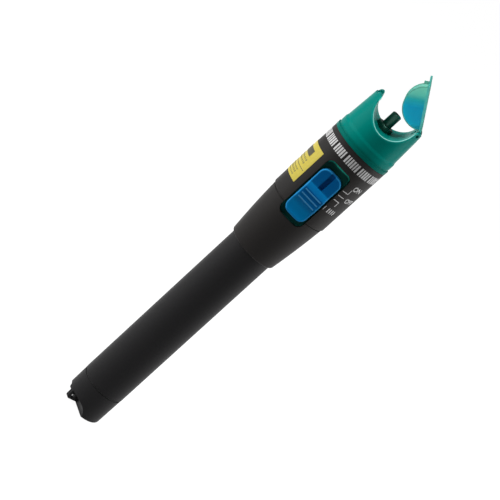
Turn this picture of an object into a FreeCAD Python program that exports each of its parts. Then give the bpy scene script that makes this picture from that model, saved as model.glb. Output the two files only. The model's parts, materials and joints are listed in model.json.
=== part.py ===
import FreeCAD, Part
import math
import os
import Sketcher

# Pen-type visual fault locator. It stands on its tail: the origin is the centre of the tail's end face,
# +Z runs along the pen to the head, -Y is the side of the slider and +X the side of the cap's hinge.

Vector = FreeCAD.Vector
Rotation = FreeCAD.Rotation

# Driving dimensions in millimetres and degrees. Each becomes a cell of the spreadsheet under its own name.
DIMENSIONS = {
    # cells and their fits
    "cell_diameter": 14.5,
    "cell_length": 50.5,
    "cell_room": 0.4,
    "nub_diameter": 5.5,
    "nub_height": 1.0,
    "plate_margin": 1.2,
    # fits and clearances
    "seat_gap": 0.05,
    "running_gap": 0.05,
    "hole_gap": 0.1,
    "loose_gap": 0.2,
    "floor_gap": 0.3,
    "through": 40.0,
    # tail cap
    "tail_end_inset": 0.225,
    "tail_rim_inset": 0.075,
    "tail_height": 13.0,
    "tail_edge": 0.5,
    "tail_floor": 7.0,
    "scoop_radius": 5.9,
    "scoop_drop": 1.1,
    "scoop_inset": 0.2,
    "scoop_turn_angle": 219.5,
    "eye_thickness": 1.5,
    "eye_lift": 0.4,
    "eye_corner": 1.3,
    "cord_hole_diameter": 2.0,
    "cord_hole_inset": 2.3,
    "cord_hole_height": 2.2,
    "gasket_thickness": 0.4,
    "gasket_inset": 0.375,
    # tail contact and spring
    "contact_thickness": 0.4,
    "spring_height": 4.8,
    "spring_wire": 0.7,
    "spring_inset": 1.75,
    "spring_taper_angle": 20.0,
    "spring_turns": 3.5,
    # battery tube
    "tube_wall": 1.975,
    "tail_thread_wall": 0.8,
    "front_thread_wall": 1.05,
    "front_thread_length": 9.0,
    "tube_edge": 0.25,
    # flare and barrel
    "cell_overlap": 18.0,
    "lip_step": 1.025,
    "lip_edge": 0.8,
    "flare_length": 23.9,
    "flare_inset": 0.4,
    "flare_arc": 350.0,
    "step_groove_width": 0.5,
    "step_groove_depth": 0.35,
    "barrel_diameter": 26.0,
    "barrel_length": 31.8,
    "barrel_edge": 0.5,
    "housing_wall": 1.8,
    # slider opening and chassis
    "opening_rise": 0.9,
    "opening_corner": 2.6,
    "side_room": 0.85,
    "end_room": 0.4,
    "recess_ledge": 0.1,
    "recess_inset": 1.4,
    "recess_depth": 1.95,
    "recess_base": 1.2,
    "chassis_wall": 1.7,
    "chassis_back": 2.0,
    "carrier_thickness": 2.6,
    # green head
    "ring_stand": 0.075,
    "ring_width": 1.5,
    "groove_width": 1.1,
    "groove_depth": 0.375,
    "head_band_inset": 0.2,
    "head_band_width": 2.0,
    "cone_base_inset": 0.525,
    "cone_top_inset": 1.25,
    "shoulder_width": 1.1,
    "saddle_height": 18.2,
    "saddle_radius": 8.8,
    "saddle_lip": 0.45,
    "hub_wall": 1.7,
    "hub_ledge": 2.4,
    "skirt_wall": 3.4,
    "web_thickness": 1.5,
    # hinge arm and catch arm
    "hinge_inset": 1.4,
    "hinge_rise": -0.6,
    "knuckle_radius": 1.3,
    "tongue_width": 4.0,
    "side_gap": 0.15,
    "tongue_slot_depth": 2.2,
    "pin_diameter": 1.2,
    "pin_width": 8.8,
    "catch_inset": 1.85,
    "catch_rise": -0.7,
    "catch_radius": 1.2,
    "prong_pocket_depth": 3.4,
    # dust cap
    "cap_open_angle": 53.8,
    "cap_top": 1.12,
    "cap_thickness": 1.0,
    "cap_width": 9.8,
    "wing_thickness": 1.0,
    "wing_gap": 0.6,
    "tab_stand": 2.5,
    "tab_thickness": 0.8,
    "prong_inset": 0.95,
    "prong_thickness": 0.9,
    "prong_width": 2.6,
    "prong_depth": 2.6,
    # slider
    "slider_length": 22.1,
    "slider_width": 9.8,
    "slider_corner": 3.0,
    "slider_rim_inset": 0.05,
    "slider_crest_stand": 0.6,
    "slider_low_inset": 0.65,
    "dish_length": 5.95,
    "dish_radius": 5.2,
    "crest_length": 5.2,
    "ramp_length": 2.2,
    "rib_pitch": 1.88,
    "rib_width": 0.45,
    "rib_height": 0.3,
    "rib_length": 7.8,
    "split_width": 2.0,
    "split_depth": 2.2,
    "split_step": 1.0,
    "split_hole_length": 5.5,
    "slider_edge": 0.45,
    "slider_travel": 1.8,
    # board and switch
    "board_front": 2.9,
    "board_thickness": 1.6,
    "board_margin": 0.95,
    "board_start": 1.8,
    "boss_radius": 2.2,
    "screw_radius": 0.98,
    "screw_head_radius": 1.9,
    "screw_head_height": 1.2,
    "screw_length": 5.6,
    "screw_margin": 2.3,
    "screw_inset": 3.0,
    "switch_width": 5.4,
    "switch_length": 12.0,
    "switch_height": 3.7,
    "stem_size": 1.6,
    "stem_base": 1.6,
    "stem_play": 0.2,
    "stem_grip": 1.9,
    "chip_width": 5.0,
    "chip_length": 4.9,
    "chip_height": 1.5,
    "resistor_width": 2.0,
    "resistor_length": 1.25,
    "resistor_height": 0.5,
    "resistor_pitch": 2.4,
    "capacitor_inset": 3.5,
    "capacitor_diameter": 5.0,
    "capacitor_height": 5.4,
    "lead_radius": 0.5,
    "strip_width": 1.8,
    "strip_thickness": 0.4,
    # laser module
    "laser_length": 14.2,
    "laser_gap": 0.6,
    "laser_radius": 5.5,
    "diode_flange_radius": 2.8,
    "diode_flange_height": 1.2,
    "diode_can_radius": 1.8,
    "diode_can_height": 2.3,
    "diode_inset": 1.2,
    "leg_radius": 0.225,
    "leg_spacing": 1.8,
    "leg_length": 6.5,
    "middle_leg_length": 3.0,
    "lens_radius": 2.5,
    "lens_thickness": 2.4,
    "retainer_gap": 1.8,
    "retainer_length": 1.6,
    "retainer_bore": 1.8,
    # ferrule adapter
    "ferrule_bore": 1.25,
    "ferrule_wall": 0.35,
    "ferrule_length": 12.0,
    "ferrule_slit": 0.5,
    "light_bore": 0.9,
    "sleeve_radius": 2.0,
    "sleeve_tip": 7.7,
    "sleeve_mouth": 1.5,
    "mouth_lip": 0.6,
    "sleeve_edge": 0.35,
    "flange_length": 4.2,
    "collar_radius": 3.58,
    "collar_height": 2.1,
    "collar_edge": 0.3,
    # label
    "label_start": 7.1,
    "label_length": 15.3,
    "label_first_angle": 120.0,
    "label_sweep_angle": 110.0,
    "label_thickness": 0.1,
}


class Size:
    """A length that knows both its number and the spreadsheet formula it comes from."""

    def __init__(self, number, formula):
        self.number = number
        self.formula = formula

    def combined(self, other, sign, swap=False):
        other = other if isinstance(other, Size) else Size(float(other), repr(float(other)))
        first, second = (other, self) if swap else (self, other)
        results = {
            "+": lambda: first.number + second.number,
            "-": lambda: first.number - second.number,
            "*": lambda: first.number * second.number,
            "/": lambda: first.number / second.number,
        }
        return Size(results[sign](), "(%s %s %s)" % (first.formula, sign, second.formula))

    def __add__(self, other):
        return self.combined(other, "+")

    def __radd__(self, other):
        return self.combined(other, "+", swap=True)

    def __sub__(self, other):
        return self.combined(other, "-")

    def __rsub__(self, other):
        return self.combined(other, "-", swap=True)

    def __mul__(self, other):
        return self.combined(other, "*")

    def __rmul__(self, other):
        return self.combined(other, "*", swap=True)

    def __truediv__(self, other):
        return self.combined(other, "/")

    def __neg__(self):
        return Size(-self.number, "(-1 * %s)" % self.formula)


ZERO = Size(0.0, "0")
HAIR = 0.01
doc = FreeCAD.newDocument("fault_locator")
sheet = doc.addObject("Spreadsheet::Sheet", "sizes")


def read_dimensions():
    """Write every driving dimension to the sheet and return them as Sizes."""
    found = {}
    for row, (alias, number) in enumerate(DIMENSIONS.items(), start=1):
        sheet.set("A%d" % row, alias)
        sheet.set("B%d" % row, str(number))
        sheet.setAlias("B%d" % row, alias)
        found[alias] = Size(float(number), "sizes." + alias)
    doc.recompute()
    return found


D = read_dimensions()
pieces = []


def bind(feature, name, size):
    """Tie one property, or part of a placement, to a formula of the sheet."""
    feature.setExpression(name, size.formula if isinstance(size, Size) else repr(float(size)))


def place(feature, x=ZERO, y=ZERO, z=ZERO, rotation=None):
    """Put a feature at a bound position, after an optional fixed rotation."""
    if rotation:
        feature.Placement = FreeCAD.Placement(Vector(), rotation)
    for name, size in (("x", x), ("y", y), ("z", z)):
        bind(feature, "Placement.Base." + name, size)
    return feature


def node(feature, name):
    """Register a finished sub-part under its own name."""
    feature.Label = name
    pieces.append(feature)
    return feature


def joined(name, first, *others):
    """Fuse shapes that are moulded or turned as one."""
    fuse = doc.addObject("Part::MultiFuse", name)
    fuse.Shapes = [first, *others]
    fuse.Refine = True
    return fuse


def minus(name, base, *tools):
    """Take one or more shapes away from a base."""
    cut = doc.addObject("Part::Cut", name)
    cut.Base = base
    cut.Tool = tools[0] if len(tools) == 1 else joined(name + "_tools", *tools)
    cut.Refine = True
    return cut


def shared(name, first, second):
    """Keep what two shapes have in common."""
    common = doc.addObject("Part::Common", name)
    common.Base = first
    common.Tool = second
    common.Refine = True
    return common


def rounded(name, base, radius, chosen):
    """Round the chosen edges of a shape, as one fillet of a bound radius."""
    body = doc.addObject("PartDesign::Body", name)
    body.BaseFeature = base
    doc.recompute()
    start = body.Group[0]
    fillet = body.newObject("PartDesign::Fillet", name + "_fillet")
    edges = enumerate(start.Shape.Edges, start=1)
    fillet.Base = (start, ["Edge%d" % number for number, edge in edges if chosen(edge)])
    bind(fillet, "Radius", radius)
    return body


def middle_of(edge):
    """Point and direction half way along an edge."""
    halfway = (edge.FirstParameter + edge.LastParameter) / 2
    return edge.valueAt(halfway), edge.tangentAt(halfway)


def block(name, x, y, z):
    """Box between pairs of bound limits along X, Y and Z."""
    box = doc.addObject("Part::Box", name)
    for side, (low, high) in (("Length", x), ("Width", y), ("Height", z)):
        bind(box, side, high - low)
    return place(box, x[0], y[0], z[0])


def centred(size):
    """Limits of a width that is centred on zero."""
    return (-size / 2, size / 2)


UPRIGHT = Rotation()
ALONG_MINUS_Y = Rotation(Vector(1, 0, 0), 90)


def rod(name, radius, length, x=ZERO, y=ZERO, z=ZERO, rotation=UPRIGHT):
    """Cylinder from a bound point, along +Z unless it is rotated."""
    cylinder = doc.addObject("Part::Cylinder", name)
    bind(cylinder, "Radius", radius)
    bind(cylinder, "Height", length)
    return place(cylinder, x, y, z, rotation)


def cross_rod(name, radius, width, x, z):
    """Cylinder of a bound width along Y, centred on the XZ plane."""
    return rod(name, radius, width, x=x, y=width / 2, z=z, rotation=ALONG_MINUS_Y)


def new_sketch(body, name, plane):
    """Empty sketch on one of the body's own origin planes."""
    sketch = body.newObject("Sketcher::SketchObject", name)
    origin_plane = next(item for item in body.Origin.OriginFeatures if item.Role == plane)
    sketch.AttachmentSupport = [(origin_plane, "")]
    sketch.MapMode = "FlatFace"
    return sketch


def arc_between(start, end, radius, hollow):
    """Arc from start to end with material on its left, bulging outwards unless it is hollow."""
    chord = end - start
    middle = (start + end) * 0.5
    height = math.sqrt(max(radius * radius - chord.Length * chord.Length / 4, 0.0))
    left = Vector(-chord.y, chord.x, 0).normalize()
    centre = middle + left * (-height if hollow else height)
    first, last = (end, start) if hollow else (start, end)
    angles = [math.atan2(point.y - centre.y, point.x - centre.x) for point in (first, last)]
    return Part.ArcOfCircle(Part.Circle(centre, Vector(0, 0, 1), radius), angles[0], angles[1])


def pin_point(sketch, index, position, coordinates):
    """Hold one point of a sketch at two bound coordinates."""
    for kind, axis, size in (("DistanceX", -2, coordinates[0]), ("DistanceY", -1, coordinates[1])):
        if size.formula == ZERO.formula:
            sketch.addConstraint(Sketcher.Constraint("PointOnObject", index, position, axis))
        else:
            number = sketch.addConstraint(
                Sketcher.Constraint(kind, -1, 1, index, position, size.number))
            sketch.setExpression("Constraints[%d]" % number, size.formula)


def draw_outline(sketch, points):
    """Closed outline, counter-clockwise. A point is (u, v), or (u, v, radius) when an arc leaves it,
    or (u, v, radius, "hollow") when that arc is concave."""
    corners = [Vector(point[0].number, point[1].number, 0) for point in points]
    starts = []
    for index, point in enumerate(points):
        start, end = corners[index], corners[(index + 1) % len(points)]
        if len(point) == 2:
            sketch.addGeometry(Part.LineSegment(start, end), False)
            starts.append(1)
            continue
        hollow = len(point) == 4
        sketch.addGeometry(arc_between(start, end, point[2].number, hollow), False)
        starts.append(2 if hollow else 1)
        number = sketch.addConstraint(Sketcher.Constraint("Radius", index, point[2].number))
        sketch.setExpression("Constraints[%d]" % number, point[2].formula)
    other_end = {1: 2, 2: 1}
    for index, point in enumerate(points):
        following = (index + 1) % len(points)
        sketch.addConstraint(Sketcher.Constraint(
            "Coincident", index, other_end[starts[index]], following, starts[following]))
        pin_point(sketch, index, starts[index], point[:2])


def turned(name, points):
    """Body turned about Z from an outline of (radius, height) points."""
    body = doc.addObject("PartDesign::Body", name)
    sketch = new_sketch(body, name + "_profile", "XZ_Plane")
    draw_outline(sketch, points)
    turn = body.newObject("PartDesign::Revolution", name + "_turn")
    turn.Profile = sketch
    turn.ReferenceAxis = (sketch, ["V_Axis"])
    turn.Angle = 360
    return body


def extruded(name, plane, points, length, offset=ZERO, midplane=False):
    """Body padded from an outline on an origin plane."""
    body = doc.addObject("PartDesign::Body", name)
    sketch = new_sketch(body, name + "_profile", plane)
    bind(sketch, "AttachmentOffset.Base.z", offset)
    draw_outline(sketch, points)
    pad = body.newObject("PartDesign::Pad", name + "_pad")
    pad.Profile = sketch
    bind(pad, "Length", length)
    pad.Midplane = midplane
    return body


def ring(outer, inner, low, high):
    """Rectangular profile of a ring, for turned()."""
    return [(inner, low), (outer, low), (outer, high), (inner, high)]


def rounded_rectangle(u, v, radius):
    """Rectangle outline with round corners, for draw_outline()."""
    (left, right), (low, high) = u, v
    return [
        (left + radius, low), (right - radius, low, radius),
        (right, low + radius), (right, high - radius, radius),
        (right - radius, high), (left + radius, high, radius),
        (left, high - radius), (left, low + radius, radius),
    ]


# Stations along Z, each worked out from the one before it.
tail_plate_top = D["tail_floor"] + D["contact_thickness"]
rear_cell_start = tail_plate_top + D["spring_height"]
front_cell_start = rear_cell_start + D["cell_length"]
cells_end = front_cell_start + D["cell_length"]
tube_shoulder = D["tail_height"] + D["gasket_thickness"]
flare_start = cells_end - D["cell_overlap"]
flare_end = flare_start + D["flare_length"]
barrel_start = flare_end + D["step_groove_width"]
barrel_end = barrel_start + D["barrel_length"]
ring_end = barrel_end + D["ring_width"]
head_start = ring_end + D["groove_width"]
saddle_centre = ring_end + D["saddle_height"]
trough_floor = saddle_centre - D["saddle_radius"]
web_under = trough_floor - D["web_thickness"]
carrier_start = cells_end - D["nub_height"]
chassis_start = carrier_start + D["carrier_thickness"]
board_low = chassis_start + D["board_start"]
laser_low = web_under - D["laser_length"]
flange_low = web_under - D["flange_length"]
board_high = laser_low - D["laser_gap"]
opening_low = chassis_start + D["opening_rise"]
slider_low = opening_low + D["slider_travel"] + D["end_room"]
slider_high = slider_low + D["slider_length"]
opening_high = slider_high + D["slider_travel"] + D["end_room"] + D["recess_inset"]
stem_height = slider_low + D["slider_length"] / 2
hinge_height = saddle_centre + D["hinge_rise"]

# Radii and depths that several pieces share.
cell_bore = D["cell_diameter"] / 2 + D["cell_room"]
tube_radius = cell_bore + D["tube_wall"]
tail_thread = cell_bore + D["tail_thread_wall"]
front_thread = cell_bore + D["front_thread_wall"]
tail_rim = tube_radius - D["tail_rim_inset"]
scoop_reach = tube_radius - D["tail_end_inset"] - D["scoop_inset"]
barrel_radius = D["barrel_diameter"] / 2
housing_bore = barrel_radius - D["housing_wall"]
chassis_radius = housing_bore - D["seat_gap"]
chassis_inner = chassis_radius - D["chassis_wall"]
recess_floor = chassis_radius - D["recess_depth"]
slider_base = recess_floor + D["floor_gap"]
stem_tip = slider_base + D["stem_grip"]
opening_width = D["slider_width"] + D["side_room"] * 2
recess_width = opening_width - D["recess_ledge"] * 2
board_front = -D["board_front"]
board_back = board_front + D["board_thickness"]
board_half = chassis_inner - D["board_margin"]
ring_radius = barrel_radius + D["ring_stand"]
arm_radius = barrel_radius - D["cone_top_inset"]
hinge_reach = arm_radius - D["hinge_inset"]
catch_reach = arm_radius - D["catch_inset"]
prong_reach = hinge_reach + catch_reach - D["prong_inset"]
slot_width = D["tongue_width"] + D["side_gap"] * 2


def make_tail_cap():
    """Cup that screws onto the tube; its end is scooped away on one side, around a thin eye."""
    end_radius, cavity = tube_radius - D["tail_end_inset"], tail_thread + D["running_gap"]
    cup = turned("tail_cup", [
        (ZERO, ZERO), (end_radius - D["tail_edge"], ZERO, D["tail_edge"]),
        (end_radius, D["tail_edge"]), (tail_rim, D["tail_height"]),
        (cavity, D["tail_height"]), (cavity, D["tail_floor"]), (ZERO, D["tail_floor"]),
    ])
    scoop = cross_rod("tail_scoop", D["scoop_radius"], D["through"], scoop_reach, -D["scoop_drop"])
    eye = extruded("tail_eye", "XZ_Plane", [
        (ZERO, D["eye_lift"]), (scoop_reach - D["eye_corner"], D["eye_lift"], D["eye_corner"]),
        (scoop_reach, D["eye_lift"] + D["eye_corner"]), (scoop_reach, D["tail_floor"]),
        (ZERO, D["tail_floor"]),
    ], D["eye_thickness"], midplane=True)
    hole = cross_rod("cord_hole", D["cord_hole_diameter"] / 2, D["through"],
                     scoop_reach - D["cord_hole_inset"], D["cord_hole_height"])
    scoops = minus("tail_scoops", scoop, minus("tail_eye_plate", eye, hole))
    turned_scoops = doc.addObject("Part::Compound", "turned_scoops")
    turned_scoops.Links = [scoops]
    turned_scoops.Placement = FreeCAD.Placement(Vector(), Rotation(Vector(0, 0, 1), 1))
    turned_scoops.setExpression("Placement.Rotation.Angle", "sizes.scoop_turn_angle * 1 deg")
    node(minus("tail_cap_body", cup, turned_scoops), "tail_cap")


def make_tail_contact():
    """Tinned disc on the floor of the tail cap, and the conical spring that stands on it."""
    wall_gap = D["running_gap"]
    disc = rod("tail_contact_disc", tail_thread - wall_gap, D["contact_thickness"],
               z=D["tail_floor"])
    node(disc, "tail_contact")

    wire, coil_radius = D["spring_wire"] / 2, D["cell_diameter"] / 2 - D["spring_inset"]
    coil_height = D["spring_height"] - D["spring_wire"] - wall_gap
    helix = doc.addObject("Part::Helix", "spring_path")
    bind(helix, "Radius", coil_radius)
    bind(helix, "Height", coil_height)
    bind(helix, "Pitch", coil_height / D["spring_turns"])
    helix.setExpression("Angle", "-sizes.spring_taper_angle * 1 deg")
    place(helix, z=tail_plate_top + wire + wall_gap / 2)
    section = doc.addObject("Part::Circle", "spring_section")
    bind(section, "Radius", wire)
    place(section, x=coil_radius, z=tail_plate_top + wire + wall_gap / 2,
          rotation=ALONG_MINUS_Y)
    sweep = doc.addObject("Part::Sweep", "spring_sweep")
    sweep.Sections = [section]
    sweep.Spine = (helix, [])
    sweep.Solid = True
    sweep.Frenet = True
    node(sweep, "battery_spring")


def make_battery_tube():
    """Aluminium tube with a thread spigot at each end, and the gasket against its tail shoulder."""
    edge = D["tube_edge"]
    tube = turned("tube_body", [
        (cell_bore, tail_plate_top), (tail_thread, tail_plate_top), (tail_thread, tube_shoulder),
        (tube_radius - edge, tube_shoulder), (tube_radius, tube_shoulder + edge),
        (tube_radius, flare_start), (front_thread, flare_start),
        (front_thread, flare_start + D["front_thread_length"]),
        (cell_bore, flare_start + D["front_thread_length"]),
    ])
    node(tube, "battery_tube")
    gasket = turned("gasket_body", ring(tube_radius - D["gasket_inset"],
                                        tail_thread + D["running_gap"],
                                        D["tail_height"], tube_shoulder))
    node(gasket, "tail_gasket")


def make_cells():
    """Two AA cells in line, each with its positive nub toward the head."""
    radius, nub = D["cell_diameter"] / 2, D["nub_diameter"] / 2
    for name, start in (("rear_cell", rear_cell_start), ("front_cell", front_cell_start)):
        can_end = start + D["cell_length"] - D["nub_height"]
        cell = turned(name + "_body", [
            (ZERO, start), (radius, start), (radius, can_end), (nub, can_end),
            (nub, start + D["cell_length"]), (ZERO, start + D["cell_length"]),
        ])
        node(cell, name)


def make_front_contact():
    """Insulating carrier in front of the cells, the positive contact with its pin, the negative strip."""
    nub_hole = D["nub_diameter"] / 2 + D["loose_gap"]
    plate_radius = D["nub_diameter"] / 2 + D["plate_margin"]
    pocket = plate_radius + D["running_gap"]
    carrier = turned("carrier_body", [
        (nub_hole, carrier_start), (chassis_radius, carrier_start), (chassis_radius, chassis_start),
        (pocket, chassis_start), (pocket, cells_end), (nub_hole, cells_end),
    ])
    strip_x = (cell_bore + D["running_gap"], cell_bore + D["running_gap"] + D["strip_thickness"])
    strip_y = (board_front - D["strip_width"], board_front)
    strip_z = (flare_start + D["front_thread_length"], board_low + D["strip_width"])
    gap = D["running_gap"]
    strip_slot = block("strip_slot", (strip_x[0] - gap, strip_x[1] + gap),
                       (strip_y[0] - gap, strip_y[1] + gap), (strip_z[0], strip_z[1] + gap))
    node(minus("carrier_with_slot", carrier, strip_slot), "contact_carrier")

    disc = rod("positive_disc", plate_radius, D["contact_thickness"], z=cells_end)
    lead_y = (board_front + board_back) / 2
    lead = rod("positive_lead", D["lead_radius"], board_low - cells_end, y=lead_y, z=cells_end)
    node(joined("positive_contact_body", disc, lead), "positive_contact")
    node(block("negative_strip_body", strip_x, strip_y, strip_z), "negative_strip")
    return strip_slot


def opening_prism(name, width, low, high, depth):
    """Opening for the slider with rounded corners, cut from outside the barrel down to a depth."""
    outline = rounded_rectangle(centred(width), (low, high), D["opening_corner"])
    return extruded(name, "XZ_Plane", outline, D["through"], offset=depth)


def make_switch_housing(strip_slot):
    """Black moulding: lip, flare, ring groove and barrel, with the slider's opening in its side."""
    tube_fit = front_thread + D["seat_gap"]
    lip, lip_edge = tube_radius + D["lip_step"], D["lip_edge"]
    flare = barrel_radius - D["flare_inset"]
    groove = flare - D["step_groove_depth"]
    edge = D["barrel_edge"]
    shell = turned("housing_shell", [
        (tube_fit, flare_start), (lip - lip_edge, flare_start, lip_edge),
        (lip, flare_start + lip_edge, D["flare_arc"]),
        (flare, flare_end), (groove, flare_end), (groove, barrel_start),
        (barrel_radius - edge, barrel_start, edge), (barrel_radius, barrel_start + edge),
        (barrel_radius, barrel_end), (housing_bore, barrel_end), (housing_bore, carrier_start),
        (cell_bore, carrier_start), (cell_bore, flare_start + D["front_thread_length"]),
        (tube_fit, flare_start + D["front_thread_length"]),
    ])
    opening = opening_prism("housing_opening", opening_width, opening_low, opening_high,
                            D["board_front"])
    node(minus("housing_body", shell, opening, strip_slot), "switch_housing")


def head_shell():
    """Ring, groove, band, shoulder and cone of the green head, solid, up to the tips of the arms."""
    groove = ring_radius - D["groove_depth"]
    band, cone = barrel_radius - D["head_band_inset"], barrel_radius - D["cone_base_inset"]
    band_end = head_start + D["head_band_width"]
    cone_start = band_end + D["shoulder_width"]
    arms_end = saddle_centre + D["catch_radius"]
    hub = D["laser_radius"] + D["seat_gap"]
    hub_outer = hub + D["hub_wall"]
    skirt_inner = band - D["skirt_wall"]
    core_end = web_under - D["hub_ledge"]
    return turned("head_shell", [
        (chassis_inner, chassis_start), (chassis_radius, chassis_start), (chassis_radius, barrel_end),
        (ring_radius - D["saddle_lip"] / 2, barrel_end, D["saddle_lip"] / 2),
        (ring_radius, barrel_end + D["saddle_lip"] / 2),
        (ring_radius, ring_end), (groove, ring_end), (groove, head_start),
        (band, head_start), (band, band_end), (cone, cone_start), (arm_radius, arms_end),
        (ZERO, arms_end), (ZERO, web_under), (hub, web_under), (hub, laser_low),
        (hub_outer, laser_low), (hub_outer, core_end), (skirt_inner, core_end),
        (skirt_inner, barrel_end), (chassis_inner, barrel_end),
    ])


def saddle_cutters():
    """Through cut of the saddle, and what is trimmed off above the two arms."""
    across = D["through"]
    top = saddle_centre + across
    trough = cross_rod("saddle_trough", D["saddle_radius"], across, ZERO, saddle_centre)
    hinge_side = block("hinge_side_trim", (ZERO, across), centred(across), (hinge_height, top))
    catch_side = block("catch_side_trim", (-across, ZERO), centred(across),
                       (saddle_centre + D["catch_rise"], top))
    return [trough, hinge_side, catch_side]


def is_saddle_rim(edge):
    """True for an edge where the trough comes out through the side of the head."""
    point, _ = middle_of(edge)
    from_axis = math.hypot(point.x, point.z - saddle_centre.number)
    on_trough = abs(from_axis - D["saddle_radius"].number) < D["running_gap"].number
    return on_trough and abs(point.y) > D["collar_radius"].number


def knuckle(name, radius, x, z):
    """Rounded tip of an arm, trimmed to the round of the head."""
    bar = cross_rod(name + "_bar", radius, D["through"], x, z)
    round_head = rod(name + "_round", arm_radius, D["through"], z=trough_floor)
    return shared(name, bar, round_head)


def make_green_head(strip_slot):
    """Green moulding: the head with its saddle and arms, and the open-backed chassis for the board."""
    shell = head_shell()
    pad_width = recess_width + D["chassis_wall"]
    pad_back = -recess_floor + D["recess_base"]
    pad = block("recess_pad_block", centred(pad_width), (-chassis_radius, pad_back),
                (chassis_start, opening_high))
    boss_root = pad_back - D["recess_base"] / 2
    bosses = [
        rod("screw_boss_%d" % index, D["boss_radius"], board_front - boss_root, x=x, y=board_front,
            z=z, rotation=ALONG_MINUS_Y)
        for index, (x, z) in enumerate(screw_places())
    ]
    inside = rod("chassis_round", chassis_radius, barrel_end - chassis_start, z=chassis_start)
    mounting = shared("board_mounting", joined("pad_and_bosses", pad, *bosses), inside)
    blank = rounded("head_blank", minus("head_cut", shell, *saddle_cutters()), D["saddle_lip"],
                    is_saddle_rim)
    catch = knuckle("catch_knuckle", D["catch_radius"], -catch_reach,
                    saddle_centre + D["catch_rise"])
    hinge = knuckle("hinge_knuckle", D["knuckle_radius"], hinge_reach, hinge_height)
    solid = joined("head_solid", blank, mounting, catch, hinge)

    half_slot = centred(slot_width)
    top = saddle_centre + D["through"]
    tongue_slot = block("tongue_slot", (ZERO, D["through"]), half_slot,
                        (hinge_height - D["tongue_slot_depth"], top))
    tab_low = hinge_height + D["cap_top"] - D["cap_thickness"] - D["floor_gap"]
    tab_slot = block("tab_slot", (-D["through"], ZERO), half_slot, (tab_low, top))
    prong_low = saddle_centre - D["prong_pocket_depth"]
    prong_x = hinge_reach - prong_reach
    prong_room = D["prong_thickness"] / 2 + D["wing_gap"]
    prong_pocket = block("prong_pocket", (prong_x - prong_room, prong_x + D["saddle_radius"]), half_slot,
                         (prong_low, top))
    pin_hole = cross_rod("hinge_pin_hole", D["pin_diameter"] / 2 + D["running_gap"] / 2,
                         D["through"], hinge_reach, hinge_height)
    recess = opening_prism("chassis_recess", recess_width, opening_low,
                           opening_high - D["recess_inset"], recess_floor)
    stem_room = D["stem_size"] / 2 + D["slider_travel"] + D["floor_gap"]
    stem_slot = block("stem_slot", centred(D["stem_size"] + D["floor_gap"] * 2),
                      (-barrel_radius, board_front),
                      (stem_height - stem_room, stem_height + stem_room))
    back = block("chassis_back_cut", centred(D["through"]), (D["chassis_back"], D["through"]),
                 (chassis_start, barrel_end - D["chassis_wall"]))
    sleeve_hole = rod("sleeve_hole", D["sleeve_radius"] + D["hole_gap"], D["through"], z=web_under)
    collar_seat = rod("collar_seat", D["collar_radius"] + D["floor_gap"], D["through"], z=trough_floor)
    screw_holes = [
        rod("screw_hole_%d" % index, D["screw_radius"] + D["running_gap"] / 2,
            D["screw_length"] + D["floor_gap"] - D["board_thickness"],
            x=x, y=board_front, z=z, rotation=ALONG_MINUS_Y)
        for index, (x, z) in enumerate(screw_places())
    ]
    node(minus("head_body", solid, tongue_slot, tab_slot, prong_pocket, pin_hole, recess, stem_slot,
               back, sleeve_hole, collar_seat, strip_slot, *screw_holes), "green_head")
    pin = cross_rod("hinge_pin_rod", D["pin_diameter"] / 2, D["pin_width"], hinge_reach,
                    hinge_height)
    node(pin, "hinge_pin")


def screw_places():
    """Centres of the three board screws: one at the tail end, two at the head end."""
    half = board_half - D["screw_margin"]
    head_row = board_high - D["screw_inset"]
    return [(ZERO, board_low + D["screw_inset"]), (half, head_row), (-half, head_row)]


def make_board():
    """Circuit board behind the chassis floor, its screws and the parts on its back."""
    blank = block("board_blank", centred(board_half * 2), (board_front, board_back),
                  (board_low, board_high))
    holes = [
        rod("board_hole_%d" % index, D["screw_radius"] + D["running_gap"], D["through"],
            x=x, y=D["through"] / 2, z=z, rotation=ALONG_MINUS_Y)
        for index, (x, z) in enumerate(screw_places())
    ]
    node(minus("board_body", blank, *holes), "circuit_board")

    screws = doc.addObject("Part::Compound", "board_screw_group")
    screws.Links = [make_screw(index, x, z) for index, (x, z) in enumerate(screw_places())]
    node(screws, "board_screws")

    chip_left = -board_half + D["resistor_width"]
    chip = block("chip_body", (chip_left, chip_left + D["chip_width"]),
                 (board_back, board_back + D["chip_height"]),
                 (stem_height, stem_height + D["chip_length"]))
    node(chip, "driver_chip")

    resistor_right = board_half - D["resistor_width"]
    resistors = doc.addObject("Part::Compound", "resistor_group")
    resistors.Links = [
        block("resistor_%d" % index, (resistor_right - D["resistor_width"], resistor_right),
              (board_back, board_back + D["resistor_height"]),
              (stem_height + D["resistor_pitch"] * index,
               stem_height + D["resistor_pitch"] * index + D["resistor_length"]))
        for index in range(-1, 4)
    ]
    node(resistors, "board_resistors")
    capacitor = rod("capacitor_can", D["capacitor_diameter"] / 2, D["capacitor_height"],
                    x=D["capacitor_inset"] - board_half, y=board_back + D["capacitor_height"],
                    z=stem_height - D["capacitor_diameter"], rotation=ALONG_MINUS_Y)
    node(capacitor, "board_capacitor")


def make_screw(index, x, z):
    """Pan-head screw whose head bears on the back of the board."""
    shank = rod("screw_shank_%d" % index, D["screw_radius"], D["screw_length"], x=x, y=board_back, z=z,
                rotation=ALONG_MINUS_Y)
    head = rod("screw_head_%d" % index, D["screw_head_radius"], D["screw_head_height"],
               x=x, y=board_back + D["screw_head_height"], z=z, rotation=ALONG_MINUS_Y)
    return joined("board_screw_%d" % index, shank, head)


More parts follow.
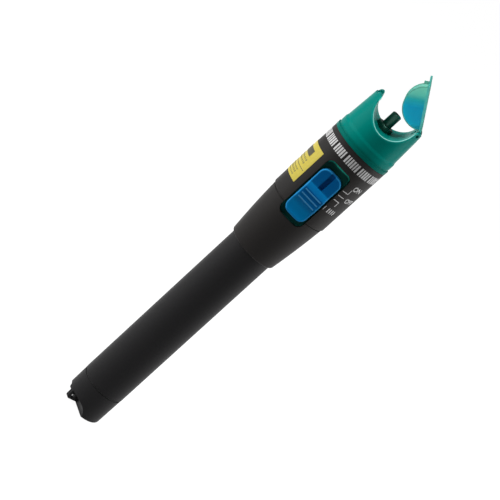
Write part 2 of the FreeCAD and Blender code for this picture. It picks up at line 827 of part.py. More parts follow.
def make_switch():
    """Slide switch on the front of the board, and its stem, which reaches into the slider."""
    top = board_front - D["switch_height"]
    half_length = D["switch_length"] / 2
    can = block("switch_can", centred(D["switch_width"]), (top, board_front),
                (stem_height - half_length, stem_height + half_length))
    room = D["stem_size"] / 2 + D["slider_travel"] + D["stem_play"]
    slot = block("switch_slot", centred(D["stem_size"] + D["stem_play"]),
                 (top - D["stem_play"], top + D["stem_base"] + D["stem_play"]),
                 (stem_height - room, stem_height + room))
    node(minus("switch_body", can, slot), "slide_switch")
    half_stem = D["stem_size"] / 2
    stem = block("stem_body", centred(D["stem_size"]), (-stem_tip, top + D["stem_base"]),
                 (stem_height - half_stem, stem_height + half_stem))
    node(stem, "switch_stem")


def is_slider_rim(edge):
    """True for an edge between the top of the slider and its side wall."""
    point, direction = middle_of(edge)
    beside = abs(point.x) > D["slider_width"].number / 2 - D["slider_corner"].number
    from_end = min(abs(point.z - end.number) for end in (slider_low, slider_high))
    above_base = -point.y > slider_base.number + D["floor_gap"].number
    upright_corner = direction.isEqual(Vector(0, math.copysign(1, direction.y), 0), HAIR)
    return above_base and (beside or from_end < HAIR) and not upright_corner


def make_slider():
    """Blue slider: rim, thumb dish, ribbed crest, ramp, and a low end split by a slot."""
    base, rim = slider_base, barrel_radius - D["slider_rim_inset"]
    crest, low = barrel_radius + D["slider_crest_stand"], barrel_radius - D["slider_low_inset"]
    dish_start = slider_low + D["slider_edge"] * 2
    dish_end = dish_start + D["dish_length"]
    crest_end = dish_end + D["crest_length"]
    ramp_end = crest_end + D["ramp_length"]
    side = extruded("slider_side", "YZ_Plane", [
        (-rim, slider_low), (-base, slider_low), (-base, slider_high), (-low, slider_high),
        (-low, ramp_end), (-crest, crest_end), (-crest, dish_end, D["dish_radius"], "hollow"),
        (-rim, dish_start),
    ], D["slider_width"], midplane=True)
    plan = extruded("slider_plan", "XZ_Plane", rounded_rectangle(
        centred(D["slider_width"]), (slider_low, slider_high), D["slider_corner"]),
        barrel_radius, offset=base - D["floor_gap"])
    block_body = rounded("slider_block", shared("slider_blank", side, plan), D["slider_edge"],
                         is_slider_rim)
    middle_rib = (dish_end + crest_end) / 2
    ribs = [
        block("slider_rib_%d" % index, centred(D["rib_length"]), (-crest - D["rib_height"], -base),
              (middle_rib + D["rib_pitch"] * index - D["rib_width"] / 2,
               middle_rib + D["rib_pitch"] * index + D["rib_width"] / 2))
        for index in (-1, 0, 1)
    ]
    split_x = centred(D["split_width"])
    deep = block("split_hole", split_x, (-crest, -low + D["split_depth"]),
                 (ramp_end, ramp_end + D["split_hole_length"]))
    shallow = block("split_channel", split_x, (-crest, -low + D["split_step"]),
                    (ramp_end, slider_high))
    grip = D["stem_size"] / 2 + D["running_gap"]
    socket = block("stem_socket", centred(grip * 2), (-stem_tip, -base + D["floor_gap"]),
                   (stem_height - grip, stem_height + grip))
    node(minus("slider_body", joined("slider_ribbed", block_body, *ribs), deep, shallow, socket),
         "slider_button")


def make_laser():
    """Laser module in the hub of the head: brass barrel, diode, lens and the ring that holds it."""
    bore = D["diode_can_radius"] + D["loose_gap"]
    lens_bore = D["lens_radius"] + D["running_gap"]
    diode_low = laser_low + D["diode_inset"]
    flange_top = diode_low + D["diode_flange_height"]
    lens_rim = flange_low - D["retainer_gap"] - D["retainer_length"]
    lens_low = lens_rim - D["lens_thickness"] / 2
    flange_bore = D["diode_flange_radius"] + D["running_gap"]
    barrel = turned("laser_barrel", [
        (flange_bore, laser_low), (D["laser_radius"], laser_low), (D["laser_radius"], web_under),
        (lens_bore, web_under), (lens_bore, lens_low), (bore, lens_low), (bore, flange_top),
        (flange_bore, flange_top),
    ])
    node(barrel, "laser_housing")

    flange, can_radius = D["diode_flange_radius"], D["diode_can_radius"]
    can_top = flange_top + D["diode_can_height"]
    can = turned("diode_can", [
        (ZERO, diode_low), (flange, diode_low), (flange, flange_top), (can_radius, flange_top),
        (can_radius, can_top), (ZERO, can_top),
    ])
    leg_y = board_back + D["leg_radius"]
    half = D["leg_spacing"] / 2
    legs = [
        rod("diode_leg_%d" % index, D["leg_radius"], length, x=x, y=y, z=diode_low - length)
        for index, (x, y, length) in enumerate((
            (half, leg_y, D["leg_length"]), (-half, leg_y, D["leg_length"]),
            (ZERO, half, D["middle_leg_length"])))
    ]
    node(joined("diode_body", can, *legs), "laser_diode")

    half_lens, dome = D["lens_thickness"] / 2, D["retainer_bore"]
    dome_radius = (dome * dome + half_lens * half_lens) / (half_lens * 2)
    lens = turned("lens_body", [
        (ZERO, lens_low), (D["lens_radius"], lens_low), (D["lens_radius"], lens_rim),
        (dome, lens_rim, dome_radius), (ZERO, lens_low + D["lens_thickness"]),
    ])
    node(lens, "collimating_lens")
    retainer = turned("retainer_body", ring(D["lens_radius"], D["retainer_bore"], lens_rim,
                                            lens_rim + D["retainer_length"]))
    node(retainer, "lens_retainer")


def make_adapter():
    """Ferrule adapter: metal sleeve with its flange under the web, split ceramic sleeve, round collar."""
    ceramic = D["ferrule_bore"] + D["ferrule_wall"]
    seat = ceramic + D["running_gap"] / 2
    tip = trough_floor + D["sleeve_tip"]
    ceramic_top = tip - D["mouth_lip"]
    ceramic_low = ceramic_top - D["ferrule_length"]
    outer, edge = D["sleeve_radius"], D["sleeve_edge"]
    sleeve = turned("adapter_tube", [
        (D["light_bore"], flange_low), (D["lens_radius"], flange_low), (D["lens_radius"], web_under),
        (outer, web_under), (outer, tip - edge), (outer - edge, tip), (D["sleeve_mouth"], tip),
        (D["sleeve_mouth"], ceramic_top), (seat, ceramic_top), (seat, ceramic_low),
        (D["light_bore"], ceramic_low),
    ])
    node(sleeve, "adapter_sleeve")

    tube = turned("ferrule_tube", ring(ceramic, D["ferrule_bore"], ceramic_low, ceramic_top))
    slit = block("ferrule_slit_cut", centred(D["ferrule_slit"]), (ZERO, D["through"]),
                 (ceramic_low, ceramic_top))
    node(minus("ferrule_body", tube, slit), "ferrule_sleeve")

    rim, top = D["collar_radius"], trough_floor + D["collar_height"]
    hole = D["sleeve_radius"] + D["running_gap"]
    collar = turned("collar_body", [
        (hole, trough_floor), (rim, trough_floor), (rim, top - D["collar_edge"]),
        (rim - D["collar_edge"], top), (hole, top),
    ])
    node(collar, "adapter_collar")


def make_dust_cap():
    """Hinged cap: plate, two wings that follow the saddle, hinge tongue, finger tab and catch prong.

    It is drawn closed, about the hinge axis, and then turned open.
    """
    wing = D["saddle_radius"] - D["wing_gap"]
    middle = -hinge_reach
    under = D["cap_top"] - D["cap_thickness"]
    width = D["cap_width"]
    centre_rise = -D["hinge_rise"]
    left, right = middle - wing, middle + wing
    outline = extruded("cap_outline", "XZ_Plane", [
        (left, centre_rise, wing), (middle, centre_rise - wing, wing), (right, centre_rise),
        (right, D["cap_top"]), (left, D["cap_top"]),
    ], width, midplane=True)
    hollow = block("cap_hollow", centred(D["through"] * 2),
                   centred(width - D["wing_thickness"] * 2), (-D["through"], under))
    tray = minus("cap_tray", outline, hollow)
    tongue = D["tongue_width"]
    barrel = cross_rod("cap_barrel", D["cap_top"], tongue, ZERO, ZERO)
    top, tab_low = D["cap_top"], D["cap_top"] - D["tab_thickness"]
    tab_tip = -(prong_reach + D["tab_stand"])
    neck = block("cap_neck", (right - D["cap_thickness"], ZERO), centred(tongue), (under, top))
    tab = extruded("cap_tab", "XZ_Plane", [
        (tab_tip, tab_low), (-prong_reach, tab_low), (left + D["cap_thickness"], under),
        (left + D["cap_thickness"], top), (tab_tip, top),
    ], tongue, midplane=True)
    half_prong = D["prong_thickness"] / 2
    prong = block("cap_prong", (-prong_reach - half_prong, -prong_reach + half_prong),
                  centred(D["prong_width"]), (top - D["prong_depth"], top))
    closed = joined("cap_closed", tray, barrel, neck, tab, prong)
    pin_hole = cross_rod("cap_pin_hole", D["pin_diameter"] / 2 + D["running_gap"], D["through"],
                         ZERO, ZERO)
    cap = minus("cap_body", closed, pin_hole)
    cap.Placement = FreeCAD.Placement(Vector(), Rotation(Vector(0, 1, 0), 1))
    cap.setExpression("Placement.Rotation.Angle", "sizes.cap_open_angle * 1 deg")
    place(cap, x=hinge_reach, z=hinge_height)
    node(cap, "dust_cap")


def make_label():
    """Sticker wrapped round the left side of the barrel."""
    low = barrel_start + D["label_start"]
    wedge = rod("label_wedge", barrel_radius + D["label_thickness"], D["label_length"], z=low,
                rotation=Rotation(Vector(0, 0, 1), 1))
    wedge.setExpression("Placement.Rotation.Angle", "sizes.label_first_angle * 1 deg")
    wedge.setExpression("Angle", "sizes.label_sweep_angle * 1 deg")
    inside = rod("label_inside", barrel_radius, D["label_length"], z=low)
    node(minus("label_body", wedge, inside), "yellow_label")


def check_document():
    """Stop if any object of the document failed."""
    doc.recompute()
    for item in doc.Objects:
        if "Invalid" in item.State or "Error" in item.State:
            raise RuntimeError("%s failed: %s" % (item.Name, item.State))
    for item in pieces:
        if item.Shape.isNull() or not item.Shape.isValid() or item.Shape.Volume <= 0:
            raise RuntimeError("%s has no valid solid" % item.Label)


def write_parts():
    """Write each sub-part to its own STEP file."""
    os.makedirs("parts", exist_ok=True)
    for item in pieces:
        item.Shape.exportStep("parts/%s.step" % item.Label)
        box = item.Shape.BoundBox
        print("%-18s %d solids %9.2f mm3  z %.2f to %.2f" % (
            item.Label, len(item.Shape.Solids), item.Shape.Volume, box.ZMin, box.ZMax))


make_tail_cap()
make_tail_contact()
make_battery_tube()
make_cells()
strip_passage = make_front_contact()
make_switch_housing(strip_passage)
make_green_head(strip_passage)
make_board()
make_switch()
make_slider()
make_laser()
make_adapter()
make_dust_cap()
make_label()
check_document()
write_parts()
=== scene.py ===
import json
import math

import bmesh
import bpy
from mathutils import Matrix, Vector


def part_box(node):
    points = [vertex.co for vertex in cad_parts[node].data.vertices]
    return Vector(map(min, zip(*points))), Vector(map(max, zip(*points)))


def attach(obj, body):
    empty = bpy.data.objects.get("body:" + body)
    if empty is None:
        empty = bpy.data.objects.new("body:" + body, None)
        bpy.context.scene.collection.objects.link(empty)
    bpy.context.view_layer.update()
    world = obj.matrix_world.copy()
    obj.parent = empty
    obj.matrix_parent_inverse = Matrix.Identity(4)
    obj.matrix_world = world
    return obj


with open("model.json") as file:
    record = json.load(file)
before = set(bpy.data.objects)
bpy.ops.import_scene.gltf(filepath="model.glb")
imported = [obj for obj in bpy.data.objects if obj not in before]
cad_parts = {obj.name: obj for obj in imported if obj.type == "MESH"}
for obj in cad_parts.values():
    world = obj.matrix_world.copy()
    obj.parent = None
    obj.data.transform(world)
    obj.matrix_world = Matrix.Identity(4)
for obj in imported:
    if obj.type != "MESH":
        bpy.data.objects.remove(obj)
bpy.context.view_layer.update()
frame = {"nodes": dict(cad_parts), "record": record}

MM = 0.001
nodes = frame["nodes"]

# ---------------------------------------------------------------- places, all read from the CAD frame

barrel_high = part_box("switch_housing")[1]
label_low, label_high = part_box("yellow_label")
slider_low, slider_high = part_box("slider_button")
pin_low, pin_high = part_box("hinge_pin")
cap_joint = next(j for j in frame["record"]["behaviour"]["joints"] if j["name"] == "cap_hinge")

BARREL_RADIUS, BARREL_TOP = barrel_high.x, barrel_high.z
LABEL_RADIUS, LABEL_TOP = -label_low.x, label_high.z
SLIDER_MIDDLE = (slider_low + slider_high) / 2
HINGE = (pin_low + pin_high) / 2
# How far the dust cap stands open at rest: its joint shuts it at the lower limit.
CAP_OPEN = -math.radians(cap_joint["range_deg"][0])
# Axis and radius of the trough that the head's saddle and the cap's wings are cut to.
SADDLE, SADDLE_RADIUS = Vector((0, 0, HINGE.z + 0.6 * MM)), 8.8 * MM
# Direction round the pen, from +X, that the marks on the barrel are placed from.
FRONT = math.radians(-94.1)


# ---------------------------------------------------------------- colours and material nodes

def rgb(code):
    """Linear colour from an sRGB hex value."""
    parts = [int(code[i:i + 2], 16) / 255 for i in (1, 3, 5)]
    return [p / 12.92 if p <= 0.04045 else ((p + 0.055) / 1.055) ** 2.4 for p in parts] + [1.0]


def wire(node, inputs):
    """Give a node its inputs: plain values, sRGB hex colours, or what another node puts out."""
    for name, value in inputs.items():
        if isinstance(value, bpy.types.Node):
            value = next(output for output in value.outputs if output.enabled)
        if isinstance(value, bpy.types.NodeSocket):
            node.id_data.links.new(value, node.inputs[name])
        else:
            node.inputs[name].default_value = rgb(value) if isinstance(value, str) else value


def add(tree, kind, inputs=None, stops=(), **settings):
    """Add a shader node with its settings and inputs; stops are (position, colour) on a colour ramp."""
    node = tree.nodes.new("ShaderNode" + kind)
    for name, value in settings.items():
        setattr(node, name, value)
    while stops and len(node.color_ramp.elements) < len(stops):
        node.color_ramp.elements.new(0.5)
    for index, (position, colour) in enumerate(stops):
        node.color_ramp.elements[index].position = position
        node.color_ramp.elements[index].color = rgb(colour)
    wire(node, inputs or {})
    return node


def new_material(name, inputs):
    """Material with one Principled shader and its plain inputs, and its pattern coordinates."""
    material = bpy.data.materials.new(name)
    material.use_nodes = True
    shader = next(node for node in material.node_tree.nodes if node.type == "BSDF_PRINCIPLED")
    wire(shader, inputs)
    return material, shader, add(material.node_tree, "TexCoord").outputs["Object"]


def grain(shader, place, size, height):
    """Fine raised grain with cells of one size. Returns its pattern, for the colour to follow."""
    tree = shader.id_data
    noise = add(tree, "TexNoise", {"Vector": place, "Scale": 1 / size, "Detail": 2.0})
    wire(shader, {"Normal": add(tree, "Bump", {"Height": noise, "Distance": height, "Strength": 0.6})})
    return noise


def drift(shader, pattern, dark, light, roughness, spread):
    """Let colour and roughness drift together with a pattern."""
    tree = shader.id_data
    wire(shader, {
        "Base Color": add(tree, "ValToRGB", {"Fac": pattern}, [(0.35, dark), (0.65, light)]),
        "Roughness": add(tree, "MapRange", {
            "Value": pattern, "From Min": 0.3, "From Max": 0.7,
            "To Min": roughness - spread, "To Max": roughness + spread})})


def lay_over(mask, start, full, under, over):
    """Lay a colour over another: not yet where the mask is at start, and wholly where it is at full."""
    tree = mask.id_data
    share = add(tree, "MapRange", {"Value": mask, "From Min": start, "From Max": full},
                interpolation_type="SMOOTHSTEP")
    return add(tree, "Mix", {0: share, 6: under, 7: over}, data_type="RGBA")


def away_from(place, centre, inner=(0, 0, 0)):
    """Distance in X and Z from a centre, or from the rectangle that reaches inner to each side."""
    nothing = (0, 0, 0)
    for operation, operand in (("SUBTRACT", centre), ("ABSOLUTE", nothing), ("SUBTRACT", inner),
                               ("MAXIMUM", nothing), ("MULTIPLY", (1, 0, 1)), ("LENGTH", nothing)):
        place = add(place.id_data, "VectorMath", {0: place, 1: operand}, operation=operation)
    return place


def moulded(name, dark, light, roughness, size=0.25 * MM, height=0.01 * MM, ior=1.53, gloss=0.5):
    """Injection moulded plastic, or anything else with an even fine grain under a soft shine."""
    material, shader, place = new_material(name, {"IOR": ior, "Specular IOR Level": gloss})
    drift(shader, grain(shader, place, size, height), dark, light, roughness, 0.04)
    return material


def turned_metal(name, dark, light, roughness, pitch, metallic=1.0, gloss=0.5):
    """Lathe-turned metal: fine rings across the Z axis, one for each pass of the tool."""
    material, shader, place = new_material(name, {"Metallic": metallic, "Specular IOR Level": gloss})
    tree = shader.id_data
    rings = add(tree, "TexWave", {
        "Vector": place, "Scale": 1 / pitch, "Distortion": 1.2, "Detail": 2.0},
        wave_type="BANDS", bands_direction="Z").outputs["Fac"]
    wire(shader, {"Normal": add(tree, "Bump", {
        "Height": rings, "Distance": 0.004 * MM, "Strength": 0.5})})
    drift(shader, rings, dark, light, roughness, 0.05)
    return material


def glossy_plastic(name, roughness, gloss):
    """Polished plastic with a faint orange peel, its colour left open. Also gives its coordinates."""
    material, shader, place = new_material(name, {
        "IOR": 1.53, "Roughness": roughness, "Specular IOR Level": gloss})
    grain(shader, place, 0.6 * MM, 0.004 * MM)
    return material, shader, place, add(shader.id_data, "SeparateXYZ", {"Vector": place}).outputs


# ---------------------------------------------------------------- materials of this pen

# Black ABS, spark-eroded mould: warm charcoal, with a soft shine where it turns away.
black_abs = moulded("black_abs_spark_eroded", "#211F1E", "#252322", 0.5, gloss=0.12)
# Black anodised aluminium, turned: cooler charcoal, with faint rings round it.
black_anodised = turned_metal("black_anodised_aluminium", "#1E1E1F", "#222122", 0.5, 0.35 * MM,
                              metallic=0.0, gloss=0.12)
# Nitrile rubber: near black and dull.
nitrile_rubber = moulded("nitrile_rubber", "#141414", "#1A1A1A", 0.75, 0.2 * MM, 0.02 * MM)
# Yellow vinyl film: lemon yellow, with a slight shine and a faint orange peel.
yellow_vinyl = moulded("yellow_vinyl_film", "#D6C44A", "#DDCB50", 0.35, 0.8 * MM, 0.004 * MM, gloss=0.2)
# Dark green anodised aluminium, turned: nearly black, greener where light catches it.
green_anodised = turned_metal("dark_green_anodised_aluminium", "#1E4F44", "#28604F", 0.28, 0.2 * MM,
                              metallic=0.5)
# Nickel plated steel: pale and bright, faintly streaked.
nickel_steel = turned_metal("nickel_plated_steel", "#B0B0AE", "#C2C2C0", 0.28, 0.3 * MM)
# Free-cutting brass, turned: warm yellow with fine bright rings.
turned_brass = turned_metal("turned_brass", "#C9A24A", "#D8B45C", 0.3, 0.2 * MM)
# Tinned phosphor bronze: pale straw grey, softly bright.
tinned_bronze = turned_metal("tinned_phosphor_bronze", "#B8B09A", "#C6C0AC", 0.35, 0.5 * MM)
# Ground zirconia: white, dense, slightly glossy.
zirconia = moulded("ground_zirconia", "#ECECE8", "#F2F2EE", 0.22, 0.1 * MM, 0.002 * MM, 2.1)
# Silk-screen inks, white, black and olive: a thin film, a little duller than what it lies on.
white_ink = moulded("white_screen_ink", "#E2E2E2", "#E8E8E8", 0.5, 0.15 * MM, 0.006 * MM, gloss=0.15)
black_ink = moulded("black_screen_ink", "#35310F", "#3D3814", 0.5, 0.15 * MM, 0.006 * MM)
olive_ink = moulded("olive_screen_ink", "#8A8238", "#948B40", 0.5, 0.15 * MM, 0.006 * MM)
# Glazed ceramic and filled epoxy of the small board parts: hard, black and shiny.
black_ceramic = moulded("black_glazed_ceramic", "#1B1B1B", "#232323", 0.25, 0.1 * MM, 0.003 * MM)


def make_green_abs():
    """Teal green ABS, polished, with painted light: a painted highlight and lighter lip round the
    saddle's edge, painted shade on the ring by the barrel, and painted shade with a painted highlight in
    the slider's recess.
    """
    material, shader, place, axes = glossy_plastic("teal_green_abs_polished", 0.3, 0.02)
    tree = shader.id_data
    # Painted shade: the ring next to the barrel is coloured a little darker than the head above it,
    # though it is the same moulding.
    colour = lay_over(axes["Z"], BARREL_TOP + 1.8 * MM, BARREL_TOP + 2.6 * MM, "#00776C", "#008B80")
    # Outwards from the trough: the wall kept near the body green, a thin pale painted highlight along the
    # edge, and a lighter lip of painted light that fades away.
    trough = away_from(place, SADDLE)
    for start, full, over in ((1.1, 0.5, "#00A294"), (0.34, 0.16, "#A4F2EA"), (0.06, 0.01, "#009184")):
        colour = lay_over(trough, SADDLE_RADIUS + start * MM, SADDLE_RADIUS + full * MM, colour, over)
    # Below the barrel's top the moulding is the floor of the slider's recess, darkened with painted
    # shade, partly dust. A bright crescent of painted highlight runs round its two upper corners, and
    # thins out down the sides.
    corner_start, corner_radius, thinning = slider_high.z + 1.0 * MM, 2.1 * MM, -4.0
    corner = away_from(place, (0, 0, 0), (3.0 * MM, 0, corner_start))
    off_line = add(tree, "Math", {0: corner, 1: corner_radius}, operation="SUBTRACT")
    beside = add(tree, "Math", {0: off_line}, operation="ABSOLUTE")
    above = add(tree, "MapRange", {"Value": axes["Z"], "From Min": corner_start,
                                   "From Max": corner_start + 10 * MM, "To Max": 10 * MM})
    crescent = add(tree, "Math", {0: beside, 1: thinning, 2: above}, operation="MULTIPLY_ADD")
    recess = lay_over(crescent, -0.4 * MM, 0.6 * MM, "#1A5C52", "#3CE6C8")
    colour = lay_over(axes["Z"], BARREL_TOP - 0.5 * MM, BARREL_TOP - 0.3 * MM, recess, colour)
    wire(shader, {"Base Color": colour})
    return material


def make_blue_abs():
    """Blue ABS, satin, with painted light: painted highlights along the rim and the three ribs, and
    painted shade in the thumb dish.
    """
    material, shader, place, axes = glossy_plastic("blue_abs_satin", 0.36, 0.05)
    tree = shader.id_data
    along = add(tree, "MapRange", {
        "Value": axes["Z"], "From Min": slider_low.z, "From Max": slider_high.z})
    # Up the slider, painted light and shade that follow its slopes: a lighter foot, a thumb dish with the
    # ribs in painted shade, a painted highlight on the crest, and a darker split end.
    colour = add(tree, "ValToRGB", {"Fac": along}, [
        (0.0, "#0A8AD0"), (0.07, "#008CD0"), (0.2, "#0494D8"), (0.36, "#0074B8"), (0.52, "#0062A8"),
        (0.55, "#0674B8"), (0.64, "#068AD0"), (0.67, "#006CB2"), (1.0, "#0068AC")])
    corner = 3.0 * MM
    half = (slider_high - slider_low) / 2
    rim = away_from(place, SLIDER_MIDDLE, (half.x - corner, 0, half.z - corner))
    # Painted highlight: the slider's rim is laid paler than the blue within it.
    colour = lay_over(rim, corner - 0.75 * MM, corner - 0.25 * MM, colour, "#2A98DC")
    # Painted highlight on the rib crests: the ribs are all that stands this far out.
    colour = lay_over(axes["Y"], slider_low.y + 0.27 * MM, slider_low.y + 0.2 * MM, colour, "#4FA6DC")
    wire(shader, {"Base Color": colour})
    return material


def make_cap_plastic():
    """Teal polypropylene, cloudy and see-through: blue near the hinge, pale green towards the tab."""
    material, shader, place = new_material("teal_polypropylene_cloudy", {
        "IOR": 1.49, "Roughness": 0.5, "Specular IOR Level": 0.14, "Transmission Weight": 0.6})
    tree = shader.id_data
    grain(shader, place, 0.5 * MM, 0.004 * MM)
    # The cap's own coordinates, as if it were shut: the hinge at zero and the plate along -X.
    centred = add(tree, "Mapping", {"Vector": place, "Location": -HINGE})
    shut = add(tree, "VectorRotate", {"Vector": centred, "Angle": CAP_OPEN},
               rotation_type="Y_AXIS", invert=True)
    axes = add(tree, "SeparateXYZ", {"Vector": shut}).outputs
    length = 22.0 * MM
    along = add(tree, "MapRange", {"Value": axes["X"], "From Min": 0.0, "From Max": -length})
    colour = add(tree, "ValToRGB", {"Fac": along}, [
        (0.0, "#0AA4AA"), (0.1, "#06B0C0"), (0.2, "#00D0EE"), (0.48, "#00D2EE"), (0.6, "#3CDCDC"),
        (0.68, "#9CF4E4"), (0.84, "#B8FAE8"), (0.88, "#3CD0D4"), (1.0, "#3CD0D4")])
    # The wings end at a rolled rim, and the plate above them is paler with a dull outer face.
    trough = away_from(shut, SADDLE - HINGE)
    colour = lay_over(trough, SADDLE_RADIUS - 1.1 * MM, SADDLE_RADIUS - 0.75 * MM, colour, "#7CCAB6")
    colour = lay_over(axes["Z"], 0.05 * MM, 0.25 * MM, colour, "#6CDCD4")
    colour = lay_over(axes["Z"], 0.85 * MM, 1.05 * MM, colour, "#84C0AE")
    wire(shader, {"Base Color": colour})
    return material


def make_board_laminate():
    """Glass-epoxy board under green solder mask, with the tracks showing as paler lines."""
    material, shader, place = new_material("solder_mask_on_glass_epoxy", {"Roughness": 0.35})
    tree = shader.id_data
    # The board stands on edge, so the tracks are turned into its plane.
    turned = add(tree, "Mapping", {"Vector": place, "Rotation": (math.radians(90), 0, 0)})
    tracks = add(tree, "TexBrick", {
        "Vector": turned, "Scale": 1.0, "Color1": "#0E5A2C", "Color2": "#0B5228", "Mortar": "#2C7D45",
        "Brick Width": 3.2 * MM, "Row Height": 1.6 * MM, "Mortar Size": 0.12 * MM})
    wire(shader, {"Base Color": tracks})
    return material


def make_cell_jacket():
    """Shrink film of a plain cell: black body, with a grey band at the nub end."""
    material, shader, place = new_material("cell_shrink_film", {"Roughness": 0.3})
    tree = shader.id_data
    height = add(tree, "SeparateXYZ", {"Vector": place}).outputs["Z"]
    # The two cells stand one on the other, so the colours repeat over one cell's length.
    cells = add(tree, "MapRange", {
        "Value": height, "From Min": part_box("rear_cell")[0].z, "From Max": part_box("front_cell")[0].z},
        clamp=False)
    share = add(tree, "Math", {0: cells}, operation="FRACT")
    wire(shader, {"Base Color": add(tree, "ValToRGB", {"Fac": share}, [
        (0.0, "#8F9092"), (0.02, "#232426"), (0.74, "#232426"), (0.76, "#77797C"), (0.97, "#77797C"),
        (0.985, "#A6A6A4")])})
    return material


def make_lens_glass():
    """Coated crown glass: clear, with a faint cool tint."""
    return new_material("crown_glass", {
        "Base Color": "#F4FAFA", "Roughness": 0.02, "IOR": 1.52, "Transmission Weight": 1.0})[0]


for material, names in (
        (black_anodised, "tail_cap battery_tube"),
        (nitrile_rubber, "tail_gasket"),
        (black_abs, "switch_housing contact_carrier"),
        (black_ceramic, "driver_chip board_resistors switch_stem"),
        (make_green_abs(), "green_head hinge_pin"),
        (make_blue_abs(), "slider_button"),
        (make_cap_plastic(), "dust_cap"),
        (yellow_vinyl, "yellow_label"),
        (green_anodised, "adapter_sleeve adapter_collar"),
        (zirconia, "ferrule_sleeve"),
        (nickel_steel, "board_screws battery_spring slide_switch board_capacitor"),
        (tinned_bronze, "tail_contact positive_contact negative_strip"),
        (turned_brass, "laser_housing laser_diode lens_retainer"),
        (make_lens_glass(), "collimating_lens"),
        (make_board_laminate(), "circuit_board"),
        (make_cell_jacket(), "rear_cell front_cell")):
    for name in names.split():
        nodes[name].data.materials.clear()
        nodes[name].data.materials.append(material)


# ---------------------------------------------------------------- print on the barrel and the label

INK = 0.03 * MM


def flat_bar(sheet, across, along, width, height):
    """One printed bar, drawn flat: X is round the pen and Y along it, from the print's own middle."""
    place = Matrix.Translation((across, along, 0)) @ Matrix.Diagonal((width, height, 1, 1))
    bmesh.ops.create_grid(sheet, x_segments=1, y_segments=1, size=0.5, matrix=place)


def add_word(sheet, word, across, along, height):
    """A plain word as flat faces, centred on a point, in letters of one height."""
    curve = bpy.data.curves.new("word_" + word, "FONT")
    curve.body = word
    # A capital is 0.69 of the type size, and the offset thickens its strokes for printing.
    curve.size, curve.offset = height / 0.69, 0.035 * height
    curve.align_x, curve.align_y = "CENTER", "CENTER"
    holder = bpy.data.objects.new("word_" + word, curve)
    mesh = bpy.data.meshes.new_from_object(holder)
    mesh.transform(Matrix.Translation((across, along, 0)))
    sheet.from_mesh(mesh)
    bpy.data.objects.remove(holder)
    bpy.data.curves.remove(curve)
    bpy.data.meshes.remove(mesh)


def wrap(sheet, name, radius, angle, height, material):
    """Bend a flat print round the pen: its middle goes to an angle round Z and a height along it."""
    reach = max(abs(vert.co.x) for vert in sheet.verts)
    step = radius * math.radians(2.5)
    count = int(reach / step)
    for index in range(-count, count + 1):
        everything = sheet.verts[:] + sheet.edges[:] + sheet.faces[:]
        bmesh.ops.bisect_plane(sheet, geom=everything, dist=1e-7, plane_co=(index * step, 0, 0),
                               plane_no=(1, 0, 0))
    for vert in sheet.verts:
        turn = angle + vert.co.x / radius
        vert.co = Vector((radius * math.cos(turn), radius * math.sin(turn), height + vert.co.y))
    # Flat faces point up, which bends to outwards, so the ink's thickness is added on the outside.
    sheet.normal_update()
    bmesh.ops.solidify(sheet, geom=sheet.faces[:], thickness=-INK)
    bmesh.ops.recalc_face_normals(sheet, faces=sheet.faces[:])
    mesh = bpy.data.meshes.new(name)
    sheet.to_mesh(mesh)
    sheet.free()
    mesh.materials.append(material)
    piece = bpy.data.objects.new(name, mesh)
    bpy.context.scene.collection.objects.link(piece)
    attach(piece, "housing")


def print_band():
    """Bold row of upright bars, in groups, all round the barrel just below the head."""
    sheet = bmesh.new()
    bar, gap, rest, tall = 0.78 * MM, 0.36 * MM, 1.0 * MM, 3.3 * MM
    groups = (5, 6, 5, 7, 5, 5, 6, 5, 6, 6, 5, 7)
    girth = 2 * math.pi * BARREL_RADIUS
    used = sum(groups) * bar + sum(count - 1 for count in groups) * gap + len(groups) * rest
    # All widths stretch by one share, so that the row closes on itself.
    share = girth / used
    across = -girth / 2
    for count in groups:
        for index in range(count):
            width = bar * (0.8 if index % 3 == 1 else 1.0)
            flat_bar(sheet, across + bar * share / 2, 0, width * share, tall)
            across += (bar + gap) * share
        across += (rest - gap) * share
    wrap(sheet, "barrel_print_band", BARREL_RADIUS, FRONT, BARREL_TOP - 3.75 * MM, white_ink)


def print_switch_marks():
    """Leaders for the three places of the slider, with ON, OFF and a row of pulses beside them."""
    sheet = bmesh.new()
    line, leader, step, rise, letters = 0.3 * MM, 3.0 * MM, 2.3 * MM, 2.2 * MM, 2.0 * MM
    flat_bar(sheet, 0, 0, leader, line)
    for side in (-1, 1):
        flat_bar(sheet, 0, side * step, leader, line)
        flat_bar(sheet, (leader - line) / 2, side * (step + rise / 2), line, rise)
    add_word(sheet, "ON", 3.6 * MM, 5.4 * MM, letters)
    add_word(sheet, "OFF", 5.4 * MM, -0.3 * MM, letters)
    pulses_below, first_pulse, pulse_step = -7.0 * MM, 0.6 * MM, 1.1 * MM
    for index in range(4):
        flat_bar(sheet, first_pulse + index * pulse_step, pulses_below, 0.5 * MM, letters)
    flat_bar(sheet, -1.5 * MM, pulses_below, 0.2 * MM, 1.9 * MM)
    wrap(sheet, "switch_marks", BARREL_RADIUS, FRONT + math.radians(39), SLIDER_MIDDLE.z + 6.85 * MM,
         white_ink)


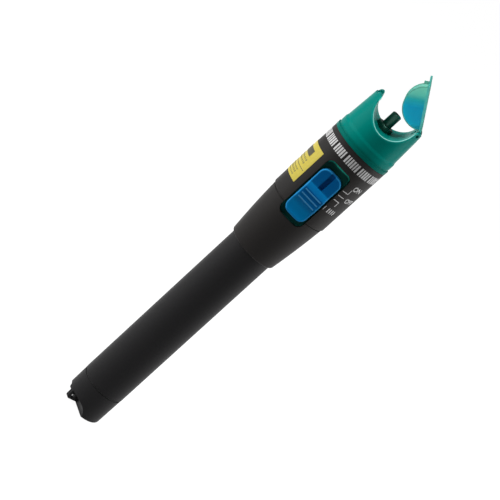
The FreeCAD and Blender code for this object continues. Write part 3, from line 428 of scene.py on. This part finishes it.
def print_label_marks():
    """Plain marks on the yellow label: a dark block, one long line, and lines of short strokes."""
    dark, pale = bmesh.new(), bmesh.new()
    flat_bar(dark, -8.2 * MM, -3.8 * MM, 9.4 * MM, 2.9 * MM)
    flat_bar(dark, -6.0 * MM, -10.1 * MM, 11.6 * MM, 0.22 * MM)
    stroke_widths, first_stroke, stroke_step = (0.7, 0.45, 0.6, 0.3), -3.2, -1.05
    for below, tall in ((-6.9, 0.8), (-8.3, 0.8), (-11.6, 0.6), (-12.8, 0.8), (-14.1, 0.6)):
        for index in range(13):
            flat_bar(pale, (first_stroke + index * stroke_step) * MM, below * MM,
                     stroke_widths[index % 4] * MM, tall * MM)
    radius, near_edge = LABEL_RADIUS + 0.02 * MM, FRONT - math.radians(38.5)
    wrap(dark, "label_print_dark", radius, near_edge, LABEL_TOP, black_ink)
    wrap(pale, "label_print_pale", radius, near_edge, LABEL_TOP, olive_ink)


print_band()
print_switch_marks()
print_label_marks()


# ---------------------------------------------------------------- camera, floor and light

def seen_by(tree, *rays):
    """One for the kinds of ray named, and zero for all others."""
    path = add(tree, "LightPath").outputs
    seen = path[rays[0]]
    for ray in rays[1:]:
        seen = add(tree, "Math", {0: seen, 1: path[ray]}, operation="MAXIMUM")
    return seen


def make_camera():
    """Long lens, looking down a little at the standing pen, and rolled to lay it on the diagonal."""
    aim, distance = Vector((0, 0, 93.8 * MM)), 615 * MM
    side, drop, roll = math.radians(4.1), math.radians(16), math.radians(47.55)
    ahead = Vector((math.sin(side) * math.cos(drop), math.cos(side) * math.cos(drop), -math.sin(drop)))
    right = Vector((math.cos(side), -math.sin(side), 0))
    above = right.cross(ahead)
    across = right * math.cos(roll) + above * math.sin(roll)
    upward = above * math.cos(roll) - right * math.sin(roll)
    data = bpy.data.cameras.new("camera")
    data.lens, data.sensor_width = 117.0, 36.0
    data.clip_start, data.clip_end = 0.01, 50.0
    camera = bpy.data.objects.new("camera", data)
    turned = Matrix((across, upward, -ahead)).transposed().to_4x4()
    camera.matrix_world = Matrix.Translation(aim - ahead * distance) @ turned
    bpy.context.scene.collection.objects.link(camera)
    bpy.context.scene.camera = camera


def make_floor():
    """Pale floor that reads white straight to the camera and in reflections, and keeps the shadow."""
    material, shader, _ = new_material("pale_floor", {
        "Base Color": "#808080", "Roughness": 0.9, "Emission Color": "#FFFFFF"})
    tree = shader.id_data
    seen = seen_by(tree, "Is Camera Ray", "Is Glossy Ray", "Is Transmission Ray")
    near_white = 0.95
    glow = add(tree, "Math", {0: seen, 1: near_white}, operation="MULTIPLY")
    wire(shader, {"Emission Strength": glow})
    sheet = bmesh.new()
    bmesh.ops.create_circle(sheet, cap_ends=True, segments=96, radius=12.0,
                            matrix=Matrix.Translation((0, 0, -0.2 * MM)))
    mesh = bpy.data.meshes.new("floor")
    sheet.to_mesh(mesh)
    sheet.free()
    mesh.materials.append(material)
    floor = bpy.data.objects.new("floor", mesh)
    bpy.context.scene.collection.objects.link(floor)


def make_world():
    """Even light from all round; white where it is seen directly or through something clear."""
    world = bpy.data.worlds.new("studio")
    world.use_nodes = True
    tree = world.node_tree
    backdrop = next(node for node in tree.nodes if node.type == "BACKGROUND")
    seen = seen_by(tree, "Is Camera Ray", "Is Transmission Ray")
    even_light = 0.17
    wire(backdrop, {"Color": "#FFFFFF", "Strength": add(tree, "MapRange", {
        "Value": seen, "To Min": even_light, "To Max": 1.0})})
    bpy.context.scene.world = world


def soft_box(name, place, aim, size, power):
    """Rectangular soft light that faces a point."""
    data = bpy.data.lights.new(name, "AREA")
    data.shape, data.energy = "RECTANGLE", power
    data.size, data.size_y = size
    lamp = bpy.data.objects.new(name, data)
    lamp.location = place
    lamp.rotation_euler = (Vector(aim) - Vector(place)).to_track_quat("-Z", "Y").to_euler()
    bpy.context.scene.collection.objects.link(lamp)


bpy.context.scene.view_settings.view_transform = "Standard"
make_camera()
make_floor()
make_world()
# A tall key box square to the left, a weaker one to the right, and a small one overhead.
soft_box("side_left", (-0.84, -0.1, 0.3), (0, 0, 0.1), (0.7, 0.8), 8.4)
soft_box("side_right", (0.82, 0.12, 0.3), (0, 0, 0.1), (0.5, 0.8), 4.8)
soft_box("overhead", (0, -0.1, 1.1), (0, 0, 0.15), (0.35, 0.35), 3.2)
